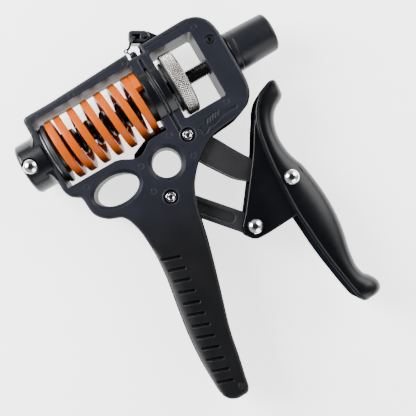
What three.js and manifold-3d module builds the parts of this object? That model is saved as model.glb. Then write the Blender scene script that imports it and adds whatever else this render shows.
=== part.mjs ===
// Pistol-shaped adjustable hand gripper, modelled lying on its back.
// X runs along the spring axis to the muzzle, Y up the pistol, Z out of the front face.
// Shapes are drawn about the spring axis in the parting plane; the frame group moves them
// so that the origin is at the centre of the bounding box's bottom. Millimetres.
import * as THREE from 'three';
import { mergeVertices } from 'three/addons/utils/BufferGeometryUtils.js';
import Module from 'manifold-3d';

// ---- driving dimensions -------------------------------------------------------------
const ORIGIN = [-41.25, 60.23, 17.75];
const AXIS_Y = 1.2;
const GAP = 0.3;
const SHELL_HALF = 12;
const LEFT_WINDOW = [-18.2, 41.6];
const LEFT_SILL = [-18.85, 20.5];
const RIGHT_WINDOW = [52.8, 77.3];
const RIGHT_SILL = [-17.95, 20.4];
const OVAL_HOLE = [3.1, -32.1];
const ROUND_HOLE = [32.75, -32.9];
const BULGE_R = 17.5;
const COLLAR_R = 14.15;
const COLLAR_END = -34;
const STUD = [-29.5, 0.5];
const PIVOT = [49.6, -26];
const LINK_PIVOT = [25.8, -49.6];
const HANDLE_PIVOT = [85.5, -72];
const HANDLE_LINK_PIVOT = [56.3, -85];
const LEVER_IN = 4.6;
const LEVER_OUT = 7.6;
const LINK_HALF = 4;
const POCKET_HALF = 8;
const HANDLE_HALF = 11.5;
const WEB_HALF = 10.2;
const PIN_R = 2.4;
const PIN_HEAD_R = 2.8;
const RECESS_R = 3.9;
const ROD_R = 4;
const ROD_BORE = 4.6;
const ROD_END = 97;
const SPRING_R = 17.5;
const SPRING_RADIAL = 4.5;
const SPRING_AXIAL = 4.1;
const SPRING_START = -13.9;
const SPRING_STOP = 41.45;
const INNER_R = 6.65;
const INNER_WIRE = 1.5;
const NUT = [56, 63.8];
const NUT_R = 17.75;
const CAP_END = 116.5;
const CAP_R = [11.4, 10.6];
const DOME_R = 4.2;
const COUNTER = [53.7, 32.8];
const COUNTER_TURN = -30;
const TRIGGER = [46.4, 25.9];

const wasm = await Module();
wasm.setup();

// ---- solids -------------------------------------------------------------------------
function solid(geometry) {
  const plain = geometry.clone();
  for (const name of Object.keys(plain.attributes)) {
    if (name !== 'position') {
      plain.deleteAttribute(name);
    }
  }
  const merged = mergeVertices(plain, 1e-5);
  const mesh = new wasm.Mesh({
    numProp: 3,
    vertProperties: new Float32Array(merged.attributes.position.array),
    triVerts: new Uint32Array(merged.index.array),
  });
  return new wasm.Manifold(mesh);
}

function geometryOf(body) {
  const mesh = body.getMesh();
  const geometry = new THREE.BufferGeometry();
  geometry.setAttribute('position', new THREE.BufferAttribute(mesh.vertProperties, 3));
  geometry.setIndex(new THREE.BufferAttribute(mesh.triVerts, 1));
  geometry.computeVertexNormals();
  return geometry;
}

function join(list) {
  return list.reduce((sum, body) => sum.add(body));
}

function box(x0, x1, y0, y1, z0, z1, turn = 0) {
  const geometry = new THREE.BoxGeometry(x1 - x0, y1 - y0, z1 - z0);
  geometry.rotateZ(THREE.MathUtils.degToRad(turn));
  geometry.translate((x0 + x1) / 2, (y0 + y1) / 2, (z0 + z1) / 2);
  return solid(geometry);
}

function rodZ(x, y, r, z0, z1, sides = 16, r1 = r) {
  const geometry = new THREE.CylinderGeometry(r1, r, z1 - z0, sides);
  geometry.rotateX(Math.PI / 2);
  geometry.translate(x, y, (z0 + z1) / 2);
  return solid(geometry);
}

// Solid of revolution about the spring axis from [x, r] points, first and last on it.
function turned(points, sides = 24) {
  const profile = points.map(([x, r]) => new THREE.Vector2(r, x));
  const geometry = new THREE.LatheGeometry(profile, sides);
  geometry.rotateZ(-Math.PI / 2);
  geometry.translate(0, AXIS_Y, 0);
  const body = solid(geometry);
  return body.volume() < 0 ? solid(flipped(geometry)) : body;
}

function flipped(geometry) {
  const index = geometry.index.array;
  for (let i = 0; i < index.length; i += 3) {
    const keep = index[i];
    index[i] = index[i + 1];
    index[i + 1] = keep;
  }
  return geometry;
}

// Closed ring of revolution between radii about the spring axis.
function ring(x0, x1, rIn, rOut, sides = 24) {
  const bar = turned([[x0, 0], [x0, rOut], [x1, rOut], [x1, 0]], sides);
  return bar.subtract(turned([[x0 - 1, 0], [x0 - 1, rIn], [x1 + 1, rIn], [x1 + 1, 0]], sides));
}

function bar(x0, x1, r, sides = 24) {
  return turned([[x0, 0], [x0, r], [x1, r], [x1, 0]], sides);
}

// Plate in the XY plane between z0 and z1, with both face edges rounded by bevel.
function plate(points, z0, z1, bevel = 0, segments = 1) {
  const shape = new THREE.Shape(points.map(([x, y]) => new THREE.Vector2(x, y)));
  const geometry = new THREE.ExtrudeGeometry(shape, {
    depth: z1 - z0 - 2 * bevel,
    bevelEnabled: bevel > 0,
    bevelThickness: bevel,
    bevelSize: bevel,
    bevelOffset: -bevel,
    bevelSegments: segments,
    curveSegments: 1,
  });
  geometry.translate(0, 0, z0 + bevel);
  return solid(geometry);
}

function curve(points, steps = 1) {
  const spline = new THREE.SplineCurve(points.map(([x, y]) => new THREE.Vector2(x, y)));
  return spline.getPoints(steps * (points.length - 1)).map((p) => [p.x, p.y]);
}

// Arc of points about a centre, in degrees.
function arc([x, y], r, from, to, steps = 8) {
  const points = [];
  for (let i = 0; i <= steps; i += 1) {
    const a = THREE.MathUtils.degToRad(from + (to - from) * i / steps);
    points.push([x + r * Math.cos(a), y + r * Math.sin(a)]);
  }
  return points;
}

// Spherical cap on a cylinder edge, standing at z on side sign (+1 front, -1 rear).
function dome(x, y, z, sign, r, height, sides = 16) {
  const sphere = (r * r + height * height) / (2 * height);
  const profile = [new THREE.Vector2(0, 0), new THREE.Vector2(r, 0)];
  for (let i = 1; i <= 3; i += 1) {
    const rr = r * (1 - i / 3);
    const h = Math.sqrt(sphere * sphere - rr * rr) - (sphere - height);
    profile.push(new THREE.Vector2(rr, h));
  }
  const geometry = new THREE.LatheGeometry(profile, sides);
  geometry.rotateX(sign > 0 ? Math.PI / 2 : -Math.PI / 2);
  geometry.translate(x, y, z);
  const body = solid(geometry);
  return body.volume() < 0 ? solid(flipped(geometry)) : body;
}

// ---- frame outline ------------------------------------------------------------------
const GRIP_FRONT = [
  [39.9, -50.3], [37.2, -56], [35.3, -62.5], [33.4, -71], [30.9, -81.4], [25, -102],
  [18.4, -123.8], [15.1, -139.9], [12.8, -150],
];
const GRIP_BACK = [
  [-2.6, -152.8], [-3.4, -148.8], [-3.9, -140], [-3.9, -130.6], [-2.8, -116.9],
  [-0.4, -101], [2.2, -86], [3.6, -72], [3.2, -60], [1.2, -51], [-1.4, -46.6],
];
const outline = [
  ...arc([-18.7, 21.85], 2.8, 180, 90, 3), [-5, 24.7],
  [42.6, 26.8], [42.6, 23.2], [50.4, 23.2], [50.4, 27.1], [72, 27.5], [77, 27.5],
  [80.5, 27], [84.3, 25.4], [87.2, 22.9], [89.1, 19.9], [90.4, 15], [90.8, 9], [90.9, 0],
  [90.8, -9], [90.7, -15], [89.9, -20], [88.6, -23.2], [87.2, -25.2], [84, -28],
  ...curve([[76.5, -30.7], [68, -31.6], [61.7, -32.5], [57.4, -34.3],
    [53.4, -36.9], [47.3, -41.4], [42.5, -46.7]]),
  ...curve(GRIP_FRONT),
  [11.6, -155.2], [10, -157.6], [7.6, -158.4], [3.4, -158.2], [-0.4, -156.2],
  ...curve(GRIP_BACK),
  [-5, -44.9], [-8, -43.6], [-10, -42.1], [-12, -40.1], [-13.8, -37], [-14.4, -34],
  [-14.6, -30], [-14.9, -27.3], [-15.5, -26], [-17.6, -25], [-19.6, -23.3],
  [-20.8, -21], [-21.5, -18.5],
];

const leftWindow = [
  [LEFT_WINDOW[0], LEFT_SILL[1]], [LEFT_WINDOW[0], LEFT_SILL[0]], [10, -18.9], [12, -19.4],
  [14, -20.2], [16, -21.3], [18, -22.3], [20, -23], [22.3, -23.3], [24.5, -22.6],
  [26.5, -21.4], [28.4, -19.9], [30.5, -18.7], [34, -18.3], [LEFT_WINDOW[1], -18.3],
  [LEFT_WINDOW[1], LEFT_SILL[1]],
];
const rightWindow = [
  ...arc([RIGHT_WINDOW[0] + 1, RIGHT_SILL[1] - 1], 1, 90, 180, 3),
  ...arc([RIGHT_WINDOW[0] + 1, RIGHT_SILL[0] + 1], 1, 180, 270, 3),
  ...arc([RIGHT_WINDOW[1] - 1.5, RIGHT_SILL[0] + 1.5], 1.5, 270, 360, 3),
  ...arc([RIGHT_WINDOW[1] - 1.5, RIGHT_SILL[1] - 1.5], 1.5, 0, 90, 3),
];

// Swept room of the two lever plates and of the lower link inside the shells.
const leverRoom = [
  [48.5, 8.6], [48.5, -18.2], [45.2, -19.4], [42.7, -24], [42.5, -30], [42.4, -43],
  [42, -56], [60, -60], [76, -44], [63.2, -33.6], [57.9, -26.4], [57.7, -17.5],
  [53.6, -17.5], [53.6, 8.6],
];
const linkRoom = [
  ...arc(LINK_PIVOT, 6.9, 90, 190, 6), [20.6, -56], [24.6, -73], [28.6, -90],
  [50, -96], [66, -66], [47, -44], [41.5, -43.2], [34, -43.4],
];

// ---- half shells --------------------------------------------------------------------
function frameBody() {
  let body = plate(outline, -SHELL_HALF, SHELL_HALF, 2);
  body = body.subtract(plate(leftWindow, -20, 20));
  body = body.subtract(plate(rightWindow, -20, 20));
  body = body.add(bar(LEFT_WINDOW[1], RIGHT_WINDOW[0], BULGE_R, 32));
  body = body.add(gussets());
  // Collar with its concave flare into the end wall.
  const flare = turned([[-25, 0], [-25, 14.05], [-23.6, 14.6], [-22.4, 15.9],
    [-21.2, 18], [-20, 18], [-20, 0]]);
  body = body.add(flare.intersect(box(-30, 0, -18, 21, -11.9, 11.9)));
  body = body.add(turned([[COLLAR_END, 0], [COLLAR_END, 12.2], [COLLAR_END + 0.6, 13.5],
    [COLLAR_END + 2, COLLAR_R], [-20, COLLAR_R], [-20, 0]]));
  body = body.subtract(bar(-21.5, -16, 7));
  // Finger holes with flared lips.
  body = body.subtract(ellipseHole());
  body = body.subtract(rodZ(...ROUND_HOLE, 7.8, -20, 20, 28));
  for (const sign of [1, -1]) {
    const lip = rodZ(...ROUND_HOLE, sign > 0 ? 7.8 : 9.9, sign * 11.2 - 1, sign * 11.2 + 1,
      28, sign > 0 ? 9.9 : 7.8);
    body = body.subtract(lip);
  }
  // Spring cup recess, slot of the reaction plate, rod bores and cap socket.
  body = body.subtract(bar(41, 43.3, 16.3));
  body = body.subtract(bar(46.3, 48.4, 17.9, 32));
  body = body.subtract(bar(40, 54, ROD_BORE));
  body = body.subtract(bar(76, 92, ROD_BORE));
  body = body.subtract(bar(83.4, 92, 7.9));
  body = body.subtract(bar(83.4, 86.4, 8.3));
  // Working room of the levers and the link.
  body = body.subtract(plate(leverRoom, -POCKET_HALF, POCKET_HALF));
  body = body.subtract(plate(linkRoom, -LINK_HALF - 0.5, LINK_HALF + 0.5));
  // Slot behind the top notch for the counter's trigger.
  body = body.subtract(box(43.4, 49.6, 19.6, 30, -3.4, 3.4));
  // Pin seats.
  body = body.subtract(pinBore(PIVOT)).subtract(pinBore(LINK_PIVOT));
  body = body.subtract(rodZ(...STUD, 2.1, -20, 20));
  for (const z of [[12.9, 16], [-16, -12.9]]) {
    body = body.subtract(rodZ(...STUD, DOME_R + 0.3, z[0], z[1], 24));
  }
  body = body.subtract(rodZ(84.2, 11.3, 1.5, -20, 20, 16));
  body = body.subtract(rodZ(84.2, 11.3, 2.6, 10.4, 16, 24));
  for (const cut of ribCuts()) {
    body = body.subtract(cut);
  }
  return body;
}

function pinBore([x, y]) {
  const through = rodZ(x, y, PIN_R + GAP, -20, 20);
  const front = rodZ(x, y, RECESS_R, 10.2, 20, 24);
  const rear = rodZ(x, y, RECESS_R, -20, -10.2, 24);
  return through.add(front).add(rear);
}

function ellipseHole() {
  const turn = THREE.MathUtils.degToRad(-3.5);
  const slice = (a, b, z0, z1) => {
    const points = arc([0, 0], 1, 0, 348.75, 31).map(([x, y]) => [
      OVAL_HOLE[0] + a * x * Math.cos(turn) - b * y * Math.sin(turn),
      OVAL_HOLE[1] + a * x * Math.sin(turn) + b * y * Math.cos(turn),
    ]);
    return plate(points, z0, z1);
  };
  const lip = (near, far) => wasm.Manifold.hull(
    [slice(12.55, 7.65, near, near + 0.05), slice(14.4, 9.5, far, far + 0.05)]);
  return join([slice(12.55, 7.65, -20, 20), lip(10.2, 12.2), lip(-10.25, -12.25)]);
}

// Corner webs of the rear shell behind the spring, scalloped clear of its coils.
function gussets() {
  const web = plate([[17, -23.8], [20, -19], [42, -9.5], [42, -20]], -SHELL_HALF, -9);
  return web.subtract(bar(0, 60, 18.3));
}

// Finger grooves of the back strap, each wrapping both faces and the back edge.
function ribCuts() {
  const cuts = [];
  for (let i = 0; i < 12; i += 1) {
    const t = i / 11;
    const inner = [15 - 8.1 * t, -79 - 69.3 * t];
    const length = 9.5 + 1.4 * t;
    const turn = -19;
    const dx = Math.cos(THREE.MathUtils.degToRad(turn));
    const dy = Math.sin(THREE.MathUtils.degToRad(turn));
    const mid = [inner[0] - dx * length * 0.62, inner[1] - dy * length * 0.62];
    const half = length * 0.62;
    for (const z of [[10.9, 14], [-14, -10.9]]) {
      cuts.push(box(mid[0] - half, mid[0] + half, mid[1] - 0.8, mid[1] + 0.8, z[0], z[1], turn));
    }
  }
  return cuts;
}

const frame = frameBody();
const frontHalf = frame.intersect(box(-60, 140, -200, 80, 0.15, 40));
const rearHalf = frame.intersect(box(-60, 140, -200, 80, -40, -0.15));

// Rear shell screws, sunk in from the rear face.
const SHELL_SCREWS = [[-10, -23.2], [68, 24], [79.5, -24.5], [22, -96], [7.5, -150]];
function screwRoom([x, y]) {
  return rodZ(x, y, 2.6, -20, -8.6, 16).add(rodZ(x, y, 1.5, -20, 8, 10));
}
let frontShell = frontHalf;
let rearShell = rearHalf;
for (const place of SHELL_SCREWS) {
  frontShell = frontShell.subtract(screwRoom(place));
  rearShell = rearShell.subtract(screwRoom(place));
}

function screw([x, y], sign, zHead, zTip, headR, shankR) {
  const top = sign > 0 ? zHead : -zHead;
  const under = sign > 0 ? zHead - 1.4 : -zHead + 1.4;
  const head = rodZ(x, y, headR, Math.min(top, under), Math.max(top, under), 16);
  const shank = rodZ(x, y, shankR, Math.min(under, zTip), Math.max(under, zTip), 10);
  const key = new THREE.CylinderGeometry(headR * 0.52, headR * 0.52, 2, 6);
  key.rotateX(Math.PI / 2);
  key.translate(x, y, top);
  return head.add(shank).subtract(solid(key));
}

// ---- spring pack --------------------------------------------------------------------
// Turn positions of the outer spring: closed end turns, open working turns between them.
function springX(turn) {
  const knots = [[-0.25, 0], [0, 0.1], [1, 5.4], [6, 46.9], [7, 51.25], [7.2, 51.25]];
  for (let i = 1; i < knots.length; i += 1) {
    if (turn <= knots[i][0]) {
      const t = (turn - knots[i - 1][0]) / (knots[i][0] - knots[i - 1][0]);
      return knots[i - 1][1] + t * (knots[i][1] - knots[i - 1][1]);
    }
  }
  return knots[knots.length - 1][1];
}

function coil(turnFrom, turnTo, perTurn, centreR, place, section, hand) {
  const rings = [];
  const count = Math.round((turnTo - turnFrom) * perTurn);
  for (let i = 0; i <= count; i += 1) {
    const turn = turnFrom + (turnTo - turnFrom) * i / count;
    const a = 2 * Math.PI * turn * hand;
    const x = place(turn);
    for (const [ax, rad] of section) {
      const r = centreR + rad;
      rings.push(x + ax, AXIS_Y + r * Math.cos(a), r * Math.sin(a));
    }
  }
  const n = section.length;
  const index = [];
  for (let i = 0; i < count; i += 1) {
    for (let k = 0; k < n; k += 1) {
      const a = i * n + k;
      const b = i * n + (k + 1) % n;
      index.push(a, b, a + n, b, b + n, a + n);
    }
  }
  for (let k = 1; k < n - 1; k += 1) {
    index.push(0, k + 1, k);
    index.push(count * n, count * n + k, count * n + k + 1);
  }
  const geometry = new THREE.BufferGeometry();
  geometry.setAttribute('position', new THREE.Float32BufferAttribute(rings, 3));
  geometry.setIndex(index);
  const body = solid(geometry);
  return body.volume() < 0 ? solid(flipped(geometry)) : body;
}

const a2 = SPRING_AXIAL / 2;
const r2 = SPRING_RADIAL / 2;
const wireSection = [[-a2, -r2], [a2, -r2], [a2, r2 - 0.8], [a2 - 0.8, r2],
  [-a2 + 0.8, r2], [-a2, r2 - 0.8]];
const outerSpring = coil(-0.2, 7.19, 20, SPRING_R - r2, (t) => SPRING_START + a2 + springX(t),
  wireSection, 1);

const roundSection = [];
for (let i = 0; i < 5; i += 1) {
  const a = Math.PI * (0.5 + i) / 2.5;
  roundSection.push([INNER_WIRE * Math.cos(a), INNER_WIRE * Math.sin(a)]);
}
const innerTurns = (SPRING_STOP - SPRING_START - 2 * INNER_WIRE) / 4.7;
const innerSpring = coil(0, innerTurns, 11, INNER_R,
  (t) => SPRING_START + INNER_WIRE + 4.7 * t, roundSection, -1);

const springSeat = turned([[-16.4, 0], [-16.4, 16.4], [-15.8, 17.2], [-14.2, 17.2],
  [-14.2, 12.4], [-11.5, 12], [-11.5, 8.8], [-14.2, 8.7], [-14.2, 0]])
  .subtract(bar(-20, 0, ROD_R + GAP));
const seatWasher = ring(-17.7, -16.7, ROD_R + GAP, 16.2);
const springCup = turned([[38.4, 0], [38.4, 12], [41.75, 12.4], [41.75, 16], [43, 16],
  [43, 0]]).subtract(bar(30, 50, 8.8)).add(ring(41.75, 43, ROD_BORE + 0.1, 9.2));
const reactionPlate = ring(46.6, 48.1, ROD_BORE + 0.1, 17.3, 32);

// ---- draw rod, nut, cap -------------------------------------------------------------
const drawRod = turned([[-21.1, 0], [-21.1, 5.4], [-20.3, 6.2], [-18, 6.2], [-18, ROD_R],
  [ROD_END - 1, ROD_R], [ROD_END, ROD_R - 1], [ROD_END, 0]], 24);
const thrustWasher = ring(54.5, 55.7, ROD_R + GAP, 14.5);

function knurledNut() {
  const sides = 48;
  const shape = [];
  for (let i = 0; i < sides; i += 1) {
    const a = 2 * Math.PI * i / sides;
    const r = i % 2 ? NUT_R - 0.45 : NUT_R;
    shape.push([r * Math.cos(a), r * Math.sin(a)]);
  }
  const geometry = new THREE.ExtrudeGeometry(
    new THREE.Shape(shape.map(([x, y]) => new THREE.Vector2(x, y))), {
      depth: NUT[1] - NUT[0] - 1.2,
      bevelEnabled: true,
      bevelThickness: 0.6,
      bevelSize: 0.6,
      bevelOffset: -0.6,
      bevelSegments: 1,
    });
  geometry.rotateY(Math.PI / 2);
  geometry.translate(NUT[0] + 0.6, AXIS_Y, 0);
  return solid(geometry).subtract(bar(50, 70, ROD_R + GAP))
    .subtract(turned([[62.8, 0], [62.8, 11.5], [64.8, 12.5], [64.8, 0]]));
}

const muzzleCap = turned([[83.8, 0], [83.8, 8], [86, 8], [86, 7.5], [91.2, 7.5],
  [91.2, CAP_R[0] - 0.5], [91.7, CAP_R[0]], [CAP_END - 2, CAP_R[1]],
  [CAP_END - 0.6, CAP_R[1] - 0.6], [CAP_END, CAP_R[1] - 2], [CAP_END, 0]])
  .subtract(turned([[80, 0], [80, 5], [112.5, 5], [113.9, 3.4], [113.9, 0]]));

// ---- levers and link ----------------------------------------------------------------
const leverOutline = [
  ...arc([51.3, AXIS_Y], 2.9, 40, -60, 5),
  [53.4, -6], [53.3, -17], [55.2, -20.6], ...arc(PIVOT, 6.5, 26, 0, 2),
  ...curve([[56.6, -27.5], [61.7, -34.5], [66.9, -43.8], [72.6, -52.9], [79, -60.6]]),
  ...arc(HANDLE_PIVOT, 6, 100, -90, 10),
  ...curve([[76, -70.6], [66.2, -63.1], [60.4, -58.2], [55.6, -51.6], [48.9, -41]]),
  [44.6, -31], ...arc(PIVOT, 6.5, 190, 128, 4), [48.8, -18.2], [48.8, AXIS_Y],
  [49.8, 7], [51, 7.4], [52.1, 6.2],
];
function lever(z0, z1) {
  let body = plate(leverOutline, z0, z1, 0.5);
  body = body.subtract(rodZ(PIVOT[0], PIVOT[1], PIN_R + GAP, -20, 20));
  return body.subtract(rodZ(HANDLE_PIVOT[0], HANDLE_PIVOT[1], PIN_R + GAP, -20, 20));
}
function tube([x, y], rIn, rOut, half) {
  return rodZ(x, y, rOut, -half, half).subtract(rodZ(x, y, rIn, -half - 1, half + 1));
}

const linkAngle = THREE.MathUtils.radToDeg(Math.atan2(
  HANDLE_LINK_PIVOT[1] - LINK_PIVOT[1], HANDLE_LINK_PIVOT[0] - LINK_PIVOT[0]));
const linkOutline = [
  ...arc(LINK_PIVOT, 6.2, linkAngle + 60, linkAngle + 300, 14),
  ...arc(HANDLE_LINK_PIVOT, 5.8, linkAngle - 110, linkAngle + 110, 12),
];
const linkMid = [(LINK_PIVOT[0] + HANDLE_LINK_PIVOT[0]) / 2,
  (LINK_PIVOT[1] + HANDLE_LINK_PIVOT[1]) / 2];
function lightening(z0, z1) {
  return box(linkMid[0] - 13, linkMid[0] + 13, linkMid[1] - 3, linkMid[1] + 3, z0, z1,
    linkAngle);
}
const lowerLink = plate(linkOutline, -LINK_HALF, LINK_HALF, 0.6)
  .subtract(rodZ(LINK_PIVOT[0], LINK_PIVOT[1], PIN_R + GAP, -9, 9))
  .subtract(rodZ(HANDLE_LINK_PIVOT[0], HANDLE_LINK_PIVOT[1], PIN_R + 0.5, -9, 9))
  .subtract(lightening(2.2, 6)).subtract(lightening(-6, -2.2));

// ---- finger handle ------------------------------------------------------------------
const HANDLE_INNER = [
  [98.5, -23.2], [93, -26], [90.2, -28], [86.7, -32], [84.5, -36], [83, -40],
  [81.6, -45], [80.8, -50], [80, -55], [79.5, -60], [78.85, -70], [78.25, -80],
  [78.1, -90], [78.75, -100], [79.4, -110], [80.5, -120], [82, -130], [83.75, -140],
];
const HANDLE_OUTER = [
  [85.2, -146.2], [88.5, -148.7], [95, -148.7], [98.8, -147], [99.5, -144],
  [98.1, -139.2], [94.7, -136.2], [93.4, -130.5], [94.2, -122], [97.4, -107], [98.4, -95],
  [97.4, -81], [95.8, -70.6], [93.4, -64], [91.8, -57.5], [91.5, -51], [92.8, -44],
  [96, -38.6], [99.2, -35.8], [104.3, -32.3], [105, -28.6], [105, -25],
];
const handleBar = plate(
  [...HANDLE_INNER, ...HANDLE_OUTER, [104.6, -23], [102.1, -22.3]],
  -HANDLE_HALF, HANDLE_HALF, 1.8, 3);
const handleWeb = plate([
  [84.6, -35.5], [81.4, -40], [78.4, -45], [75.3, -50], [71.8, -55], [67.8, -60.2],
  [55.6, -76.3], ...arc(HANDLE_LINK_PIVOT, 6.5, 143, 270, 8), [61.2, -91.6],
  [78.5, -90.6], [84, -60],
], -WEB_HALF, WEB_HALF, 0.7);
// Room for the lever plates, which swing about the handle pivot, and for the link.
const handleLeverRoom = [
  [82, -24], [60, -24], [48, -60], [66, -64.6], [75.6, -71.9], [84, -79],
  ...arc(HANDLE_PIVOT, 7, 260, 430, 8), [84.9, -58.6], [82, -49], [80.4, -38],
];
const handleLinkRoom = [
  ...arc(HANDLE_LINK_PIVOT, 6.6, 190, 375, 10), [60.5, -66], [58, -50], [30, -56],
];
const handle = handleBar.add(handleWeb)
  .subtract(plate(handleLeverRoom, -POCKET_HALF, POCKET_HALF))
  .subtract(plate(handleLinkRoom, -LINK_HALF - 0.5, LINK_HALF + 0.5))
  .subtract(rodZ(HANDLE_PIVOT[0], HANDLE_PIVOT[1], PIN_R + GAP, -20, 20))
  .subtract(rodZ(HANDLE_LINK_PIVOT[0], HANDLE_LINK_PIVOT[1], PIN_R + GAP, -20, 20));

// ---- pins ---------------------------------------------------------------------------
function flatPin([x, y]) {
  return rodZ(x, y, PIN_R, -11.6, 11)
    .add(rodZ(x, y, PIN_HEAD_R, 10.6, 11.6)).add(rodZ(x, y, PIN_HEAD_R, -11.6, -10.6));
}
function domedPin([x, y], seat, rod = PIN_R) {
  return rodZ(x, y, rod, -seat - 0.5, seat + 0.5)
    .add(dome(x, y, seat + GAP, 1, DOME_R - 0.25, 2.1))
    .add(dome(x, y, -seat - GAP, -1, DOME_R - 0.25, 2.1));
}

// ---- stroke counter -----------------------------------------------------------------
const counterSpin = THREE.MathUtils.degToRad(COUNTER_TURN);
function atCounter(body, dz = 0) {
  const matrix = new THREE.Matrix4().makeRotationZ(counterSpin);
  matrix.setPosition(COUNTER[0], COUNTER[1], dz);
  return body.transform(matrix.elements);
}
function podShape(w, h, r) {
  return [
    ...arc([w / 2 - h / 2, 0], h / 2, -90, 90, 10),
    ...arc([r - w / 2, h / 2 - r], r, 90, 180, 4),
    ...arc([r - w / 2, r - h / 2], r, 180, 270, 4),
  ];
}
const counterHousing = atCounter(
  plate(podShape(11.6, 6.9, 2), -4.6, 3.8, 0.6)
    .subtract(box(-3.6, 0.6, -1.1, 1.1, 1.4, 6))
    .subtract(rodZ(-3.4, 0, 1.1, -6, -2.6, 16))
    .subtract(rodZ(3.2, 0, 1.2, 0.8, 8, 16)));
const counterButton = atCounter(rodZ(3.2, 0, 0.9, 1.9, 5.4, 20));
const counterBracket = join([
  plate([[52.4, 27.35], [67, 27.75], [67, 28.15], [52.4, 27.75]], -6.6, -0.6),
  plate([[52.4, 27.35], [66, 27.72], [60, 35.4], [50, 37.6], [51.2, 27.7]], -6.6, -4.9),
]);
const counterCover = atCounter(plate([
  ...podShape(10.2, 5.5, 1.6)], 4.1, 4.6, 0.15).subtract(box(-3.8, 0.8, -1.3, 1.3, 3, 6))
  .subtract(rodZ(3.2, 0, 1.25, 3, 8, 16)));

// Bent wire from the coil in the notch to the ring and on into the counter's slot.
function wire(points, r, sides = 6) {
  const path = new THREE.CatmullRomCurve3(
    points.map(([x, y, z]) => new THREE.Vector3(x, y, z)), false, 'catmullrom', 0.3);
  const disc = new THREE.Shape(arc([0, 0], r, 0, 360 - 360 / sides, sides - 1)
    .map(([x, y]) => new THREE.Vector2(x, y)));
  return solid(new THREE.ExtrudeGeometry(disc, {
    steps: points.length + 1,
    extrudePath: path,
    bevelEnabled: false,
  }));
}
function loop([x, y], r, wireR, z, sides = 12) {
  const torus = new THREE.TorusGeometry(r, wireR, 6, sides);
  torus.translate(x, y, z);
  return solid(torus);
}
const triggerWire = join([
  loop(TRIGGER, 1.5, 0.5, 1.6), loop(TRIGGER, 1.5, 0.5, 0.8),
  wire([[45.1, 26.6, 1.6], [44.2, 28.2, 1.6], [43.9, 29.2, 1.6]], 0.45),
  loop([43.9, 30], 0.85, 0.4, 1.6),
  wire([[44.6, 30.3, 1.6], [46.6, 31.2, 2.6], [47.7, 32.1, 5], [49.3, 33.1, 5.6],
    [50.5, 33.8, 5.6], [51.4, 34.1, 4.6], [51.7, 34, 2.9]], 0.4),
]);
const triggerPin = rodZ(TRIGGER[0], TRIGGER[1], 0.75, -4.6, 3.2, 10)
  .add(rodZ(TRIGGER[0], TRIGGER[1], 1.3, 3, 3.7, 10));
const triggerLever = plate([
  [47.6, 24.3], [48.4, 27.2], [47.4, 28.6], [45.2, 28.5], [44.5, 26.6], [44.6, 24.2],
  [45.6, 20.4], [47, 20.4],
], -3, -0.6, 0.3).subtract(rodZ(TRIGGER[0], TRIGGER[1], 1.05, -5, 2, 16));

// ---- scene --------------------------------------------------------------------------
const LOOKS = {
  shell: [0x2b2e36, 0.5, 0.1],
  grip: [0x17181b, 0.55, 0.1],
  handle: [0x15161a, 0.45, 0.1],
  steel: [0xa9a9a6, 0.35, 0.9],
  chrome: [0xd9dadb, 0.12, 1],
  dark: [0x2b2b2d, 0.5, 0.7],
  orange: [0xff7819, 0.35, 0.2],
  black: [0x111214, 0.4, 0.4],
};
const frameGroup = new THREE.Group();
frameGroup.position.set(...ORIGIN);
function place(name, body, look) {
  const [color, roughness, metalness] = LOOKS[look];
  const material = new THREE.MeshStandardMaterial({ color, roughness, metalness });
  const mesh = new THREE.Mesh(geometryOf(body), material);
  mesh.name = name;
  frameGroup.add(mesh);
}

place('frame_front', frontShell, 'shell');
place('frame_rear', rearShell, 'shell');
place('reaction_plate', reactionPlate, 'steel');
place('spring_cup', springCup, 'dark');
place('outer_spring', outerSpring, 'orange');
place('inner_spring', innerSpring, 'black');
place('spring_seat', springSeat, 'dark');
place('seat_washer', seatWasher, 'steel');
place('draw_rod', drawRod, 'black');
place('thrust_washer', thrustWasher, 'dark');
place('adjusting_nut', knurledNut(), 'steel');
place('muzzle_cap', muzzleCap, 'dark');
place('lever_front', lever(LEVER_IN, LEVER_OUT), 'dark');
place('lever_rear', lever(-LEVER_OUT, -LEVER_IN), 'dark');
place('pivot_spacer', tube(PIVOT, PIN_R + GAP, 4.4, LEVER_IN - GAP), 'steel');
place('handle_spacer', tube(HANDLE_PIVOT, PIN_R + GAP, 4.4, LEVER_IN - GAP), 'steel');
place('pivot_pin', flatPin(PIVOT), 'chrome');
place('link_pin', flatPin(LINK_PIVOT), 'chrome');
place('lower_link', lowerLink, 'dark');
place('finger_handle', handle, 'handle');
place('handle_pin', domedPin(HANDLE_PIVOT, HANDLE_HALF), 'chrome');
place('handle_link_pin', domedPin(HANDLE_LINK_PIVOT, WEB_HALF), 'chrome');
place('collar_stud', domedPin(STUD, 12.9, 1.8), 'chrome');
place('muzzle_screw', screw([84.2, 11.3], 1, 11.8, -8, 2.2, 1.2), 'black');
SHELL_SCREWS.forEach((spot, i) => {
  place(`shell_screw_${i + 1}`, screw(spot, -1, 10.6, 7.4, 2.2, 1.2), 'black');
});
place('counter_housing', counterHousing, 'black');
place('counter_cover', counterCover, 'dark');
place('counter_button', counterButton, 'dark');
place('counter_bracket', counterBracket, 'black');
place('trigger_wire', triggerWire, 'steel');
place('trigger_pin', triggerPin, 'steel');
place('trigger_lever', triggerLever, 'black');

const group = new THREE.Group();
group.add(frameGroup);
export default group;
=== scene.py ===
import math

import bmesh
import bpy
from mathutils import Matrix, Vector


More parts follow.
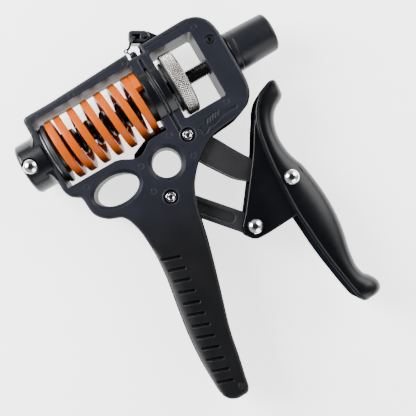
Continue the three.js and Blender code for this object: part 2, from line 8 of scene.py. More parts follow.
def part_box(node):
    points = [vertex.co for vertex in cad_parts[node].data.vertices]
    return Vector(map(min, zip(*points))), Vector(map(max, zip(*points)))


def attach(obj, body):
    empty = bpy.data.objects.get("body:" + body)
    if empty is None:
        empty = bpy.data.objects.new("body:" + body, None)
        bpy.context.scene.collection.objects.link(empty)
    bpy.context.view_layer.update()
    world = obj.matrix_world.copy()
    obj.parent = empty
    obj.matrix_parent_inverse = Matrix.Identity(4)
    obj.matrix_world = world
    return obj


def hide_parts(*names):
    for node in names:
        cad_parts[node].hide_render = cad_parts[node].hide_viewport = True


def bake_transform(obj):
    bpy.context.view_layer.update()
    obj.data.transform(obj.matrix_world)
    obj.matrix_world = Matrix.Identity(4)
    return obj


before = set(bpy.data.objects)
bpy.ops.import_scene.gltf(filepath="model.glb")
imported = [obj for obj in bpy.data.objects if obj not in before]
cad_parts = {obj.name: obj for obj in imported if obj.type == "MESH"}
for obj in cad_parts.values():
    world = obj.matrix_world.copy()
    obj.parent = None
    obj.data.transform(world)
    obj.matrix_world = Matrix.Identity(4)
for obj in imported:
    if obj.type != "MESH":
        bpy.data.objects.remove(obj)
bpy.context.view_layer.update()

# ---- place of the spring axis ---------------------------------------------------------
# Shapes are drawn in millimetres about the spring axis in the parting plane, and TO_ROW
# moves them to the CAD's place.
MM = 0.001
cap_lo, cap_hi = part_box("muzzle_cap")
AXIS_Y = 1.2
ORIGIN = Vector((cap_hi[0] - 116.5 * MM, (cap_lo[1] + cap_hi[1]) / 2 - AXIS_Y * MM,
                 (cap_lo[2] + cap_hi[2]) / 2))
TO_ROW = Matrix.Translation(ORIGIN) @ Matrix.Scale(MM, 4)


def row(x, y, z=0.0):
    return TO_ROW @ Vector((x, y, z))


# Centres of pivots, pins, screws and finger holes in the parting plane.
PIVOT = (49.6, -26.0)
LINK_PIVOT = (25.8, -49.6)
HANDLE_PIVOT = (85.5, -72.0)
HANDLE_LINK_PIVOT = (56.3, -85.0)
STUD = (-29.5, 0.5)
MUZZLE_SCREW = (84.2, 11.3)
REAR_SCREWS = [(-10, -23.2), (68, 24), (79.5, -24.5), (22, -96), (7.5, -150)]
OVAL_HOLE = (3.1, -32.1)
ROUND_HOLE = (32.75, -32.9)

# Sizes that several pieces share; a HALF is half a thickness along Z.
SHELL_HALF = 12.0
BULGE_R = 17.5
BULGE_ENDS = (41.6, 52.8)
ROD_BORE = 4.6
ROD_R = 4.0
RING_BORE = 4.3
PIN_R = 2.4
PIN_BORE = 2.7
LEVER_IN, LEVER_OUT = 4.6, 7.6
LINK_HALF = 4.0
LEVER_POCKET = 8.0
LINK_POCKET = 4.5
HANDLE_HALF = 11.5
WEB_HALF = 10.2
RIB_TURN = -19

# ---- outlines -------------------------------------------------------------------------


def arc(center, r, start, end, steps=16):
    points = []
    for i in range(steps + 1):
        a = math.radians(start + (end - start) * i / steps)
        points.append((center[0] + r * math.cos(a), center[1] + r * math.sin(a)))
    return points


def smooth(points, steps=6):
    """Catmull-Rom curve through the points, ends included."""
    p = [Vector(q) for q in points]
    p = [2 * p[0] - p[1]] + p + [2 * p[-1] - p[-2]]
    out = []
    for i in range(1, len(p) - 2):
        a, b, c, d = p[i - 1], p[i], p[i + 1], p[i + 2]
        for k in range(steps):
            t = k / steps
            q = 0.5 * (2 * b + (c - a) * t + (2 * a - 5 * b + 4 * c - d) * t * t
                       + (3 * b - a - 3 * c + d) * t ** 3)
            out.append(tuple(q))
    out.append(tuple(p[-2]))
    return out


def ellipse(center, a, b, turn, steps=72):
    points = []
    ct, st = math.cos(math.radians(turn)), math.sin(math.radians(turn))
    for i in range(steps):
        t = 2 * math.pi * i / steps
        x, y = a * math.cos(t), b * math.sin(t)
        points.append((center[0] + x * ct - y * st, center[1] + x * st + y * ct))
    return points


FRAME_OUTLINE = (
    arc((-18.7, 21.85), 2.8, 180, 90, 8)
    + [(-5, 24.7), (42.6, 26.8), (42.6, 23.2), (50.4, 23.2), (50.4, 27.1), (68, 27.4)]
    + smooth([(72, 27.5), (77, 27.5), (80.5, 27), (84.3, 25.4), (87.2, 22.9), (89.1, 19.9),
              (90.4, 15), (90.8, 9), (90.9, 0), (90.8, -9), (90.7, -15), (89.9, -20),
              (88.6, -23.2), (87.2, -25.2), (84, -28), (76.5, -30.7), (68, -31.6),
              (61.7, -32.5), (57.4, -34.3), (53.4, -36.9), (47.3, -41.4), (42.5, -46.7),
              (39.9, -50.3), (37.2, -56), (35.3, -62.5), (33.4, -71), (30.9, -81.4),
              (25, -102), (18.4, -123.8), (15.1, -139.9), (12.8, -150), (11.7, -155.2),
              (9.9, -157.8), (7, -158.3), (3.2, -158.1), (-0.4, -156.2), (-2.6, -152.8),
              (-3.5, -148.8), (-3.9, -140), (-3.9, -130.6), (-2.8, -116.9), (-0.4, -101),
              (2.2, -86), (3.5, -72), (3.2, -60), (1.2, -51), (-1.4, -46.6), (-5, -44.9),
              (-8, -43.6), (-10, -42.1), (-12, -40.1), (-13.8, -37), (-14.4, -34),
              (-14.6, -30), (-14.9, -27.3), (-15.5, -26), (-17.6, -25), (-19.6, -23.3),
              (-20.8, -21), (-21.5, -18.5)])
)
LEFT_WINDOW = (
    [(-18.2, 20.5), (-18.2, -18.85), (7, -18.85)]
    + smooth([(10, -18.9), (12, -19.4), (14, -20.2), (16, -21.3), (18, -22.3), (20, -23),
              (22.3, -23.3), (24.5, -22.6), (26.5, -21.4), (28.4, -19.9), (30.5, -18.7),
              (34, -18.3)])
    + [(41.6, -18.3), (41.6, 20.5)]
)
RIGHT_WINDOW = (
    arc((53.8, 19.4), 1, 90, 180, 5) + arc((53.8, -16.95), 1, 180, 270, 5)
    + arc((75.8, -16.45), 1.5, 270, 360, 6) + arc((75.8, 18.9), 1.5, 0, 90, 6)
)
LEVER_ROOM = [
    (48.5, 8.6), (48.5, -18.2), (45.2, -19.4), (42.7, -24), (42.5, -30), (42.4, -43),
    (42, -56), (60, -60), (76, -44), (63.2, -33.6), (57.9, -26.4), (57.7, -17.5),
    (53.6, -17.5), (53.6, 8.6),
]
LINK_ROOM = arc(LINK_PIVOT, 6.9, 90, 190, 16) + [
    (20.6, -56), (24.6, -73), (28.6, -90), (50, -96), (66, -66), (47, -44), (41.5, -43.2),
    (34, -43.4),
]

# ---- mesh makers, all in millimetres --------------------------------------------------


def link(name, mesh):
    obj = bpy.data.objects.new(name, mesh)
    bpy.context.scene.collection.objects.link(obj)
    return obj


def drop(obj):
    data = obj.data
    bpy.data.objects.remove(obj)
    if isinstance(data, bpy.types.Mesh):
        bpy.data.meshes.remove(data)
    else:
        bpy.data.curves.remove(data)


def from_bmesh(bm):
    mesh = bpy.data.meshes.new("piece")
    bmesh.ops.recalc_face_normals(bm, faces=bm.faces)
    bm.to_mesh(mesh)
    bm.free()
    return mesh


def slab(loops, z0, z1, bevel=0.0, steps=4):
    """Plate between z0 and z1 with rounded face edges; loops after the first are holes."""
    curve = bpy.data.curves.new("slab", "CURVE")
    curve.dimensions = "2D"
    curve.fill_mode = "BOTH"
    for points in loops:
        spline = curve.splines.new("POLY")
        spline.points.add(len(points) - 1)
        for point, (x, y) in zip(spline.points, points):
            point.co = (x, y, 0, 1)
        spline.use_cyclic_u = True
    curve.extrude = (z1 - z0) / 2 - bevel
    curve.bevel_depth = bevel
    curve.bevel_resolution = steps
    curve.offset = -bevel
    obj = link("slab", curve)
    graph = bpy.context.evaluated_depsgraph_get()
    mesh = bpy.data.meshes.new_from_object(obj.evaluated_get(graph))
    drop(obj)
    bm = bmesh.new()
    bm.from_mesh(mesh)
    bpy.data.meshes.remove(mesh)
    bmesh.ops.remove_doubles(bm, verts=bm.verts, dist=1e-4)
    bmesh.ops.translate(bm, verts=bm.verts, vec=(0, 0, (z0 + z1) / 2))
    return from_bmesh(bm)


def grid_mesh(rings, closed_ends=True):
    """Tube of rings of equal length; ends closed by fans when closed_ends."""
    n = len(rings[0])
    verts = [v for ring in rings for v in ring]
    faces = []
    for i in range(len(rings) - 1):
        for k in range(n):
            a = i * n + k
            b = i * n + (k + 1) % n
            faces.append((a, b, b + n, a + n))
    if closed_ends:
        faces.append(tuple(range(n - 1, -1, -1)))
        faces.append(tuple(range(len(verts) - n, len(verts))))
    mesh = bpy.data.meshes.new("piece")
    mesh.from_pydata(verts, [], faces)
    bm = bmesh.new()
    bm.from_mesh(mesh)
    bpy.data.meshes.remove(mesh)
    bmesh.ops.remove_doubles(bm, verts=bm.verts, dist=1e-5)
    return from_bmesh(bm)


def lathe_x(profile, sides=96, center=(AXIS_Y, 0.0), closed=False):
    """Body of revolution about the spring axis from (x, r) points."""
    bm = bmesh.new()
    rings = []
    for x, r in profile:
        if r < 1e-6 and not closed:
            rings.append([bm.verts.new((x, center[0], center[1]))])
        else:
            rings.append([bm.verts.new((x, center[0] + r * math.cos(2 * math.pi * k / sides),
                                        center[1] + r * math.sin(2 * math.pi * k / sides)))
                          for k in range(sides)])
    pairs = list(zip(rings, rings[1:] + ([rings[0]] if closed else [])))
    if not closed:
        pairs = pairs[:len(rings) - 1]
    for one, two in pairs:
        for k in range(sides):
            j = (k + 1) % sides
            if len(one) == 1 and len(two) == 1:
                continue
            if len(one) == 1:
                bm.faces.new((one[0], two[k], two[j]))
            elif len(two) == 1:
                bm.faces.new((one[k], two[0], one[j]))
            else:
                bm.faces.new((one[k], two[k], two[j], one[j]))
    return from_bmesh(bm)


def lathe_z(profile, center, sides=48, closed=False):
    """Body of revolution about a line along Z at center from (z, r) points."""
    mesh = lathe_x(profile, sides, (0.0, 0.0), closed)
    mesh.transform(Matrix.Translation((center[0], center[1], 0))
                   @ Matrix.Rotation(math.radians(-90), 4, "Y"))
    return mesh


def ring_x(x0, x1, r_in, r_out, edge=0.25, sides=96):
    e = min(edge, (x1 - x0) * 0.4)
    return lathe_x([(x0, r_in), (x0, r_out - e), (x0 + e * 0.3, r_out - e * 0.3),
                    (x0 + e, r_out), (x1 - e, r_out), (x1 - e * 0.3, r_out - e * 0.3),
                    (x1, r_out - e), (x1, r_in)], sides, closed=True)


def cube(x0, x1, y0, y1, z0, z1):
    bm = bmesh.new()
    bmesh.ops.create_cube(bm, size=1)
    bm.transform(Matrix.Translation(((x0 + x1) / 2, (y0 + y1) / 2, (z0 + z1) / 2))
                 @ Matrix.Diagonal((x1 - x0, y1 - y0, z1 - z0, 1)))
    return from_bmesh(bm)


def merged(meshes):
    bm = bmesh.new()
    for mesh in meshes:
        bm.from_mesh(mesh)
        bpy.data.meshes.remove(mesh)
    out = bpy.data.meshes.new("piece")
    bm.to_mesh(out)
    bm.free()
    return out


def boolean(mesh, steps):
    """Applies (operation, cutter mesh) steps in turn and returns the new mesh."""
    base = link("base", mesh)
    tools = []
    for operation, cutter in steps:
        tool = link("tool", cutter)
        tools.append(tool)
        mod = base.modifiers.new("cut", "BOOLEAN")
        mod.operation = operation
        mod.solver = "MANIFOLD"
        mod.object = tool
    graph = bpy.context.evaluated_depsgraph_get()
    out = bpy.data.meshes.new_from_object(base.evaluated_get(graph))
    for tool in tools:
        drop(tool)
    drop(base)
    return out


def wire_mesh(points, r, sides=12, steps=6):
    """Round bar along a smooth line with domed ends."""
    line = [Vector(p) for p in points]
    ext = [2 * line[0] - line[1]] + line + [2 * line[-1] - line[-2]]
    path = []
    for i in range(1, len(ext) - 2):
        a, b, c, d = ext[i - 1], ext[i], ext[i + 1], ext[i + 2]
        for k in range(steps):
            t = k / steps
            path.append(0.5 * (2 * b + (c - a) * t + (2 * a - 5 * b + 4 * c - d) * t * t
                               + (3 * b - a - 3 * c + d) * t ** 3))
    path.append(line[-1])
    rings = []
    up = Vector((0, 0, 1))
    for i, p in enumerate(path):
        d = (path[min(i + 1, len(path) - 1)] - path[max(i - 1, 0)]).normalized()
        side = d.cross(up)
        side = side.normalized() if side.length > 0.1 else Vector((1, 0, 0))
        top = side.cross(d)
        rr = r * (0.55 if i in (0, len(path) - 1) else 1)
        rings.append([p + rr * (side * math.cos(2 * math.pi * k / sides)
                                + top * math.sin(2 * math.pi * k / sides))
                      for k in range(sides)])
    return grid_mesh(rings)


# ---- materials ------------------------------------------------------------------------


def material(name, color, rough, metal=0.0, spot=0.25, spot_scale=60.0, bump=0.1,
             bump_scale=900.0, rough_var=0.1, coat=0.0, edge=0.0004, edge_highlight=0.0,
             grain=None, specular=0.5, lower_shade=None):
    """Procedural finish: mottled colour and roughness, fine bump and softened edges, with an
    optional painted highlight on rounded edges and an optional painted shade towards low Y.
    """
    mat = bpy.data.materials.new(name)
    mat.use_nodes = True
    nodes, links = mat.node_tree.nodes, mat.node_tree.links
    bsdf = nodes["Principled BSDF"]
    bsdf.inputs["Metallic"].default_value = metal
    bsdf.inputs["Specular IOR Level"].default_value = specular
    bsdf.inputs["Coat Weight"].default_value = coat
    bsdf.inputs["Coat Roughness"].default_value = 0.12
    where = nodes.new("ShaderNodeTexCoord")
    mapping = nodes.new("ShaderNodeMapping")
    links.new(where.outputs["Object"], mapping.inputs["Vector"])
    if grain:
        mapping.inputs["Scale"].default_value = grain
    cloud = nodes.new("ShaderNodeTexNoise")
    cloud.inputs["Scale"].default_value = spot_scale
    cloud.inputs["Detail"].default_value = 5
    links.new(mapping.outputs["Vector"], cloud.inputs["Vector"])
    ramp = nodes.new("ShaderNodeValToRGB")
    dark = [c * (1 - spot) for c in color]
    light = [min(1.0, c * (1 + spot)) for c in color]
    ramp.color_ramp.elements[0].position = 0.3
    ramp.color_ramp.elements[1].position = 0.7
    ramp.color_ramp.elements[0].color = (*dark, 1)
    ramp.color_ramp.elements[1].color = (*light, 1)
    links.new(cloud.outputs["Fac"], ramp.inputs["Fac"])
    color_out = ramp.outputs["Color"]
    # Painted shade: the colour turns a deeper black towards low Y, over the grip.
    if lower_shade:
        split = nodes.new("ShaderNodeSeparateXYZ")
        links.new(where.outputs["Object"], split.inputs["Vector"])
        shade_ramp = nodes.new("ShaderNodeMapRange")
        shade_ramp.inputs["From Min"].default_value = lower_shade[0]
        shade_ramp.inputs["From Max"].default_value = lower_shade[1]
        links.new(split.outputs["Y"], shade_ramp.inputs["Value"])
        shade_mix = nodes.new("ShaderNodeMix")
        shade_mix.data_type = "RGBA"
        links.new(shade_ramp.outputs["Result"], shade_mix.inputs["Factor"])
        links.new(color_out, shade_mix.inputs[6])
        shade_mix.inputs[7].default_value = (*lower_shade[2], 1)
        color_out = shade_mix.outputs[2]
    fine = nodes.new("ShaderNodeTexNoise")
    fine.inputs["Scale"].default_value = bump_scale
    fine.inputs["Detail"].default_value = 3
    links.new(mapping.outputs["Vector"], fine.inputs["Vector"])
    spread = nodes.new("ShaderNodeMapRange")
    spread.inputs["To Min"].default_value = max(0.02, rough - rough_var)
    spread.inputs["To Max"].default_value = min(1.0, rough + rough_var)
    links.new(cloud.outputs["Fac"], spread.inputs["Value"])
    links.new(spread.outputs["Result"], bsdf.inputs["Roughness"])
    soft = nodes.new("ShaderNodeBevel")
    soft.samples = 6
    soft.inputs["Radius"].default_value = edge
    relief = nodes.new("ShaderNodeBump")
    relief.inputs["Strength"].default_value = bump
    relief.inputs["Distance"].default_value = 0.0002
    links.new(fine.outputs["Fac"], relief.inputs["Height"])
    links.new(soft.outputs["Normal"], relief.inputs["Normal"])
    links.new(relief.outputs["Normal"], bsdf.inputs["Normal"])
    # Painted highlight: on rounded edges, where the softened normal leaves the face normal,
    # the colour is lightened.
    if edge_highlight:
        geo = nodes.new("ShaderNodeNewGeometry")
        dot = nodes.new("ShaderNodeVectorMath")
        dot.operation = "DOT_PRODUCT"
        links.new(soft.outputs["Normal"], dot.inputs[0])
        links.new(geo.outputs["Normal"], dot.inputs[1])
        painted_edge_highlight = nodes.new("ShaderNodeMapRange")
        painted_edge_highlight.inputs["From Min"].default_value = 0.97
        painted_edge_highlight.inputs["From Max"].default_value = 0.8
        painted_edge_highlight.inputs["To Max"].default_value = edge_highlight
        links.new(dot.outputs["Value"], painted_edge_highlight.inputs["Value"])
        mix = nodes.new("ShaderNodeMix")
        mix.data_type = "RGBA"
        links.new(painted_edge_highlight.outputs["Result"], mix.inputs["Factor"])
        links.new(color_out, mix.inputs[6])
        mix.inputs[7].default_value = (*[min(1.0, c * 4 + 0.06) for c in color], 1)
        color_out = mix.outputs[2]
    links.new(color_out, bsdf.inputs["Base Color"])
    return mat


# Finishes with a highlight gain have a painted highlight on their rounded edges.
MATS = {
    # The shell's colour darkens over the grip as painted shade.
    "shell": material("shell_plastic", (0.0065, 0.0076, 0.0135), 0.46, spot=0.16, bump=0.3,
                      bump_scale=1500, edge=0.0005, edge_highlight=0.3, specular=0.26,
                      lower_shade=(0.022, -0.012, (0.0016, 0.0017, 0.0023))),
    # Darker copy of the shell plastic without reflections, for side walls: painted shade.
    "side_shade": material("side_plastic_shaded", (0.005, 0.0055, 0.008), 0.7, spot=0.16, bump=0.2,
                      bump_scale=1400, edge=0.0003, specular=0.0),
    "gloss": material("bulge_plastic", (0.003, 0.0033, 0.005), 0.26, spot=0.16, bump=0.1,
                      bump_scale=900, edge=0.0003, edge_highlight=0.2, specular=0.3),
    # Darker copy of the nut steel for the knurl grooves: painted shade in the recesses.
    "groove": material("knurl_groove_shade", (0.15, 0.14, 0.135), 0.55, metal=0.8, bump=0.05),
    "handle": material("handle_plastic", (0.002, 0.0022, 0.0034), 0.3, spot=0.25, bump=0.12,
                       bump_scale=1400, edge=0.0004, edge_highlight=0.25, specular=0.24),
    "link": material("link_plastic", (0.014, 0.0145, 0.017), 0.45, bump=0.2, edge_highlight=0.2),
    "lever": material("lever_coat", (0.005, 0.005, 0.0062), 0.5, spot=0.2, bump=0.35,
                      bump_scale=1800, edge_highlight=0.3),
    "orange": material("orange_paint", (0.48, 0.078, 0.0), 0.3, spot=0.06, spot_scale=90,
                       bump=0.12, bump_scale=500, rough_var=0.06, specular=0.14),
    "black_spring": material("black_spring_wire", (0.012, 0.012, 0.013), 0.3, metal=0.4,
                             bump=0.25, bump_scale=700),
    "seat": material("seat_steel", (0.03, 0.031, 0.035), 0.42, metal=0.5, bump=0.15,
                     edge_highlight=0.4),
    "rod": material("rod_steel", (0.016, 0.016, 0.018), 0.32, metal=0.6, bump=0.1,
                    edge_highlight=0.2, edge=0.0001),
    "steel": material("plain_steel", (0.62, 0.61, 0.6), 0.3, metal=1.0, spot=0.12,
                      bump=0.06, grain=(1, 30, 30)),
    "dull": material("dull_steel", (0.16, 0.16, 0.165), 0.4, metal=0.9, spot=0.15, bump=0.06),
    "nut": material("nut_steel", (0.66, 0.63, 0.61), 0.3, metal=1.0, spot=0.15, bump=0.08,
                    edge=0.0001, rough_var=0.08),
    "chrome": material("chrome_dome", (0.86, 0.86, 0.87), 0.09, metal=1.0, spot=0.03,
                       bump=0.01, rough_var=0.04),
    "cap": material("cap_plastic", (0.005, 0.0055, 0.0085), 0.36, spot=0.15, bump=0.15,
                    bump_scale=1400, edge_highlight=0.15, specular=0.24),
    "screw": material("screw_black", (0.015, 0.015, 0.017), 0.35, metal=0.6, bump=0.1),
    "counter": material("counter_plastic", (0.006, 0.0063, 0.008), 0.3, spot=0.2,
                        bump=0.06, edge_highlight=0.12, specular=0.35),
    "counter_face": material("counter_face", (0.016, 0.018, 0.023), 0.35, bump=0.05,
                             specular=0.3),
    "wire": material("wire_steel", (0.02, 0.02, 0.022), 0.3, metal=0.4, bump=0.05),
}

# ---- pieces ---------------------------------------------------------------------------


def piece(name, mesh, body, nodes, look, angle=32.0, weighted=True, zones=()):
    """Adds one visual piece; zones are (finish, test of a face in millimetres) pairs."""
    marks = []
    for face in mesh.polygons:
        index = 0
        for i, (_, test) in enumerate(zones):
            if test(face.center, face.normal):
                index = i + 1
        marks.append(index)
    mesh.transform(TO_ROW)
    mesh.name = name
    for face in mesh.polygons:
        face.use_smooth = True
    mesh.set_sharp_from_angle(angle=math.radians(angle))
    mesh.materials.clear()
    mesh.materials.append(MATS[look])
    for finish, _ in zones:
        mesh.materials.append(MATS[finish])
    for face, index in zip(mesh.polygons, marks):
        face.material_index = index
    obj = link(name, mesh)
    if weighted:
        mod = obj.modifiers.new("normals", "WEIGHTED_NORMAL")
        mod.keep_sharp = True
        mod.weight = 60
    if body:
        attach(obj, body)
    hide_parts(*nodes)
    return obj


def tube_cut(x0, x1, r, sides=64):
    return lathe_x([(x0, 0), (x0, r), (x1, r), (x1, 0)], sides)


def on_circle(x, r, k, sides):
    """Point k of sides on the circle of radius r about the spring axis."""
    a = 2 * math.pi * k / sides
    return (x, AXIS_Y + r * math.cos(a), r * math.sin(a))


def circle(x, r, sides):
    return [on_circle(x, r, k, sides) for k in range(sides)]


def drill(center, r, z0, z1, sides=40):
    return lathe_z([(z0, 0), (z0, r), (z1, r), (z1, 0)], center, sides)


def flared_hole(center, a, b, lip, depth, turn=0.0, sides=80):
    """Through cutter of an oval hole whose mouths open by a rounded lip."""
    steps = 7
    levels = [(-20, lip)]
    for i in range(steps + 1):
        t = math.pi / 2 * i / steps
        levels.append((-12 + depth * math.sin(t), lip * (1 - math.sin(t)) ** 0.9))
    levels += [(-z, w) for z, w in reversed(levels)]
    rings = [[(x, y, z) for x, y in ellipse(center, a + w, b + w, turn, sides)]
             for z, w in levels]
    return grid_mesh(rings)


def pin_seat(center):
    """Cutter of a through bore for a pin, counterbored on both faces."""
    return lathe_z([(-20, 0), (-20, 4.1), (-11.7, 4.1), (-11.5, 3.9), (-10.2, 3.9),
                    (-10.2, PIN_BORE), (10.2, PIN_BORE), (10.2, 3.9), (11.5, 3.9),
                    (11.7, 4.1), (20, 4.1), (20, 0)], center)


def shells():
    body = slab([FRAME_OUTLINE], -SHELL_HALF, SHELL_HALF, 2.0, 5)
    steps = [
        ("DIFFERENCE", slab([LEFT_WINDOW], -20, 20)),
        ("DIFFERENCE", slab([RIGHT_WINDOW], -20, 20)),
        ("UNION", lathe_x([(BULGE_ENDS[0], 0), (BULGE_ENDS[0], 17.1), (41.9, BULGE_R),
                           (52.5, BULGE_R), (BULGE_ENDS[1], 17.1), (BULGE_ENDS[1], 0)], 128)),
        ("UNION", gusset()),
        ("UNION", flare()),
        ("UNION", collar()),
        ("DIFFERENCE", tube_cut(-21.5, -16, 7)),
        ("DIFFERENCE", flared_hole(ROUND_HOLE, 7.8, 7.8, 2.1, 1.9)),
        ("DIFFERENCE", flared_hole(OVAL_HOLE, 12.55, 7.65, 1.9, 1.8, -3.5, 96)),
        ("DIFFERENCE", tube_cut(41, 43.3, 16.3)),
        ("DIFFERENCE", tube_cut(46.4, 48.3, 17.9, 128)),
        ("DIFFERENCE", tube_cut(40, 54, ROD_BORE)),
        ("DIFFERENCE", tube_cut(76, 92, ROD_BORE)),
        ("DIFFERENCE", tube_cut(83.4, 92, 7.9)),
        ("DIFFERENCE", tube_cut(83.4, 86.4, 8.3)),
        ("DIFFERENCE", slab([LEVER_ROOM], -LEVER_POCKET, LEVER_POCKET)),
        ("DIFFERENCE", slab([LINK_ROOM], -LINK_POCKET, LINK_POCKET)),
        ("DIFFERENCE", cube(43.4, 49.6, 19.6, 30, -3.4, 3.4)),
        ("DIFFERENCE", pin_seat(PIVOT)),
        ("DIFFERENCE", pin_seat(LINK_PIVOT)),
        ("DIFFERENCE", drill(STUD, 2.1, -20, 20)),
        ("DIFFERENCE", drill(STUD, 4.5, 12.9, 20)),
        ("DIFFERENCE", drill(STUD, 4.5, -20, -12.9)),
        ("DIFFERENCE", drill(MUZZLE_SCREW, 2.6, 10.4, 20)),
        ("DIFFERENCE", strap_corner(1)),
        ("DIFFERENCE", strap_corner(-1)),
        ("DIFFERENCE", capsule((47.35, -1), 43, 0.95, 90, 11.3, 13)),
        ("UNION", rim_loop((47.35, -1), 43)),
    ]
    steps += [("DIFFERENCE", mesh) for mesh in rib_cuts()]
    steps += [("UNION", raised_ring(center, 11.9)) for center in (PIVOT, LINK_PIVOT)]
    steps += [("UNION", lathe_x([(x - 0.22, 17.3), (x - 0.12, 17.62), (x + 0.12, 17.62),
                                 (x + 0.22, 17.3)], 128, closed=True)) for x in (46.1, 48.6)]
    steps += [("DIFFERENCE", ejector_mark(center)) for center in EJECTOR_MARKS]
    steps += [("DIFFERENCE", capsule((x, 24.6), w, 0.22, 0, 11.75, 13))
              for x, w in ((20, 41), (64.5, 27))]
    steps += [("DIFFERENCE", slab([RIB_RECESS], 11.55, 13)),
              ("DIFFERENCE", capsule((9.5, -153), 3, 0.2, 0, 11.8, 13))]
    steps += [("UNION", capsule((62.2 + 1.75 * i, -25.2 + 0.3 * i), 3.4, 0.34, 58, 11.3, 11.9))
              for i in range(5)]
    return boolean(body, steps)


EJECTOR_MARKS = [
    (80.1, 21.2), (51.6, 22.5), (39.6, 22.6), (6.9, 22.4), (-15.4, 22.3), (-9.9, -23),
    (20.1, -27.8), (41.1, -21), (46.6, -36.5), (19.5, -42.4), (75.5, -20.7), (8.2, -153),
]
RIB_RECESS = [
    (78.9, -24.6), (79.6, -25.6), (78.6, -26.6), (74.6, -26.3), (70.2, -26.8),
    (64.4, -28.6), (61.2, -28.4), (58.6, -30.4), (56.4, -30.2), (56.9, -27.9),
    (55.9, -26.2), (57.4, -25.1), (60.1, -24.9), (61.4, -22.6), (66.6, -22.2),
    (70.6, -22.9), (73.4, -24.2), (76.4, -24.8),
]


def outer_side(c, n):
    """Outer edge walls of the shells, away from windows and holes."""
    if c.y > 22.5 or c.y < -60 or c.x > 86:
        return True
    return c.y < -30.2 and c.x > 43.5 or c.x < -21.4 and abs(c.z) < 11.6 or (
        c.y < -24 and c.x < -11.6)


def raised_ring(center, z):
    return lathe_z([(z - 0.6, 3.98), (z + 0.12, 3.98), (z + 0.3, 4.12), (z + 0.3, 4.3),
                    (z + 0.12, 4.45), (z - 0.6, 4.6)], center, 56, closed=True)


def ejector_mark(center):
    return lathe_z([(11.8, 1.25), (11.8, 1.62), (12.6, 1.7), (12.6, 1.2)], center, 28,
                   closed=True)


def gusset():
    """Corner web of the rear shell behind the spring, scalloped clear of its coils."""
    web = slab([[(17, -23.8), (20, -19), (42, -9.5), (42, -20)]], -11.6, -9)
    return boolean(web, [("DIFFERENCE", tube_cut(0, 60, 18.3, 128))])


def flare():
    """Concave run of the collar into the end wall."""
    profile = [(-25.4, 0), (-25.4, 14.0)]
    for i in range(11):
        a = math.pi / 2 * i / 10
        profile.append((-25.4 + 4.3 * math.sin(a), 14.05 + 4.2 * (1 - math.cos(a))))
    profile += [(-20, 18.3), (-20, 0)]
    return boolean(lathe_x(profile, 128), [
        ("INTERSECT", slab([[(-30, -18), (-19, -18), (-19, 21), (-30, 21)]], -11.9, 11.9))])


def collar():
    profile = [(-34, 0), (-34, 12.0)] + [
        (-34 + 2.1 * (1 - math.cos(a)), 12.05 + 2.1 * math.sin(a))
        for a in [math.pi / 2 * i / 7 for i in range(1, 8)]]
    return lathe_x(profile + [(-19.9, 14.15), (-19.9, 0)], 128)


def rim_loop(center, length):
    """Raised lip around the slot of the reaction plate on the flat face."""
    outer = capsule(center, length + 0.9, 1.4, 90, 11.7, 12.25)
    return boolean(outer, [("DIFFERENCE", capsule(center, length, 0.95, 90, 11, 13))])


def strap_corner(side):
    """Sweep that rounds the grip's back edge into a palm swell."""
    back = smooth([(3.2, -60, 0.5), (3.5, -66, 2.0), (3.5, -72, 4.5), (2.2, -86, 7.5),
                   (-0.4, -101, 8.5), (-2.8, -116.9, 8.5), (-3.9, -130.6, 8), (-3.9, -140, 7),
                   (-3.5, -148.8, 5.0), (-2.4, -154, 2.5), (-1.6, -158.6, 0.5)], 3)
    c, s = math.cos(math.radians(RIB_TURN)), math.sin(math.radians(RIB_TURN))
    rings = []
    for x, y, w in back:
        section = [(-4.0, 13.5), (-4.0, SHELL_HALF - w)]
        for i in range(9):
            a = math.pi / 2 * i / 8
            section.append((w * (1 - math.cos(a)), SHELL_HALF - w + w * math.sin(a)))
        section.append((w, 13.5))
        rings.append([(x + c * u, y + s * u, side * z) for u, z in section])
    return grid_mesh(rings)


def rib_cuts():
    cuts = []
    for i in range(12):
        t = i / 11
        inner = (15 - 8.1 * t, -79 - 69.3 * t)
        length = 17.5 + 1.2 * t
        turn = math.radians(RIB_TURN)
        mid = (inner[0] - math.cos(turn) * length / 2, inner[1] - math.sin(turn) * length / 2)
        for z0, z1 in ((10.4, 14), (-14, -10.4)):
            cuts.append(capsule(mid, length, 0.95, RIB_TURN, z0, z1))
    return cuts


def capsule(center, length, r, turn, z0, z1):
    half = length / 2 - r
    loop = (arc((half, 0), r, -90, 90, 8) + arc((-half, 0), r, 90, 270, 8))
    c, s = math.cos(math.radians(turn)), math.sin(math.radians(turn))
    return slab([[(center[0] + x * c - y * s, center[1] + x * s + y * c)
                  for x, y in loop]], z0, z1)


shell = shells()
rear = shell.copy()
front_mesh = boolean(shell, [("DIFFERENCE", cube(-60, 140, -200, 80, -40, 0.12))])
rear_mesh = boolean(rear, [("DIFFERENCE", cube(-60, 140, -200, 80, -0.12, 40))])
# Side walls take the darker side copy of the plastic as painted shade.
SHELL_ZONES = (
    ("side_shade", lambda c, n: abs(n.z) < 0.4 and outer_side(c, n)),
    ("gloss", lambda c, n: 41.5 < c.x < 52.9
     and abs(math.hypot(c.y - AXIS_Y, c.z) - 17.4) < 0.35),
    ("gloss", lambda c, n: c.x < -21.7 or (c.x < -20.5 and abs(c.z) > 12.05)),
)
piece("shell_front", front_mesh, "frame", ["frame_front"], "shell",
      zones=SHELL_ZONES)
piece("shell_rear", rear_mesh, "frame", ["frame_rear"], "shell",
      zones=SHELL_ZONES)


# ---- springs --------------------------------------------------------------------------


SPRING_START = -13.9
SPRING_STOP = 41.45
ORANGE_HALF = 2.05
BLACK_WIRE_R = 1.5
BLACK_PITCH = 4.7


